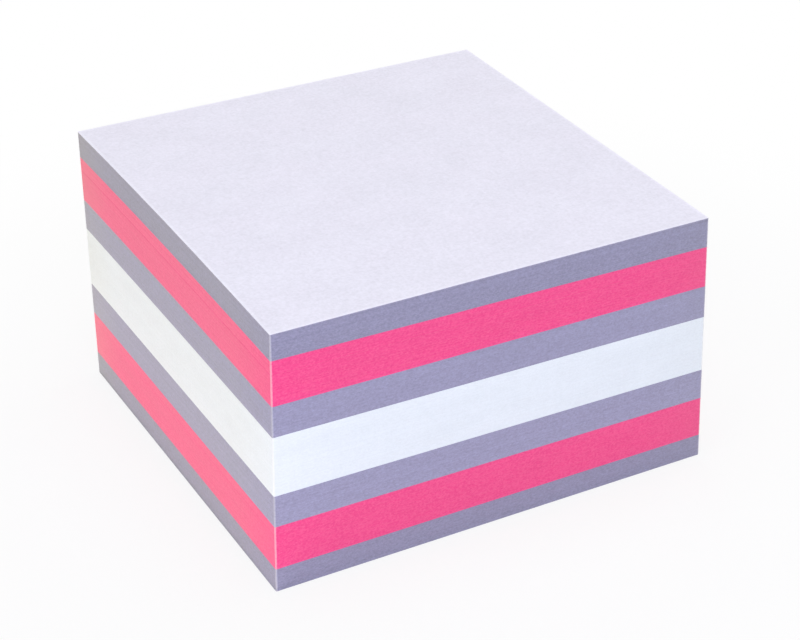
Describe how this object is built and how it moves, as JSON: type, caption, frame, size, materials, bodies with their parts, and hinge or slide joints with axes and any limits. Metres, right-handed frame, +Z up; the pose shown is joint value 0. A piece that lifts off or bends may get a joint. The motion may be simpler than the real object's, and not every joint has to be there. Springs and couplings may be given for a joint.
{
  "type": "sticky note pad",
  "caption": "Square block of self-stick notes in lilac, pink and white colour sections, glued along one edge and cut flush on all sides.",
  "frame": {"origin": "on the surface that the pad rests on, under the middle of the block", "axes": "+Z up through the stack of notes, +Y towards the glued edge, +X to the right when the free edge faces the reader"},
  "size_m": [0.076, 0.076, 0.0466],
  "materials": {
    "lilac_paper": "uncoated matt paper, pale on the sheet's face and darker on the stacked cut edges",
    "pink_paper": "uncoated matt paper, bright pink through the sheet",
    "white_paper": "uncoated matt white paper"
  },
  "bodies": {
    "root": {"lilac_notes_top": "lilac_paper", "pink_notes_upper": "pink_paper", "lilac_notes_upper": "lilac_paper", "white_notes": "white_paper", "lilac_notes_lower": "lilac_paper", "pink_notes_lower": "pink_paper", "lilac_notes_bottom": "lilac_paper"}
  },
  "joints": []
}
